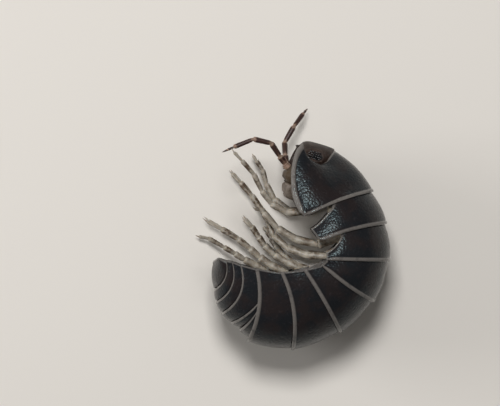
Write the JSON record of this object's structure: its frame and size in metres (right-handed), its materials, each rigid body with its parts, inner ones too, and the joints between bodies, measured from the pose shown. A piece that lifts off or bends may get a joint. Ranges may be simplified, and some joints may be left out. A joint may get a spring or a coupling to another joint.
{
  "type": "woodlouse model",
  "caption": "Life-size still model of a pill woodlouse lying on its side, half uncurled, with arched plates, a head with long feelers, and legs reaching into the open curl.",
  "frame": {"origin": "on the floor, under the middle of the animal's box", "axes": "the animal lies on its right side: +Z from its right side to its left side, +Y along the longest way across the curl, towards the head and feelers, +X from the open side of the curl to the back"},
  "size_m": [0.0089, 0.0111, 0.0064],
  "materials": {
    "shell": "satin, finely pitted slate-black plate with a paler rear rim",
    "head_shell": "satin, finely pitted brown-black",
    "mouthparts": "semi-matt, olive brown",
    "eye": "high gloss black beads",
    "feeler": "satin red-brown with pale joints",
    "limb": "satin, pale and slightly translucent with brown marks",
    "skin": "soft pale membrane"
  },
  "bodies": {
    "root": {"head": "head_shell", "mouthparts": "mouthparts", "eye_left": "eye", "eye_right": "eye", "antenna_left": "feeler", "antenna_right": "feeler", "pereonite_1": "shell", "pereonite_2": "shell", "pereonite_3": "shell", "pereonite_4": "shell", "pereonite_5": "shell", "pereonite_6": "shell", "pereonite_7": "shell", "pleonite_1": "shell", "pleonite_2": "shell", "pleonite_3": "shell", "pleonite_4": "shell", "pleonite_5": "shell", "telson": "shell", "uropod_left": "shell", "uropod_right": "shell", "soft_body": "skin", "leg_left_1": "limb", "leg_left_2": "limb", "leg_left_3": "limb", "leg_left_4": "limb", "leg_left_5": "limb", "leg_left_6": "limb", "leg_left_7": "limb", "leg_right_1": "limb", "leg_right_2": "limb", "leg_right_3": "limb", "leg_right_4": "limb", "leg_right_5": "limb", "leg_right_6": "limb", "leg_right_7": "limb"}
  },
  "joints": []
}
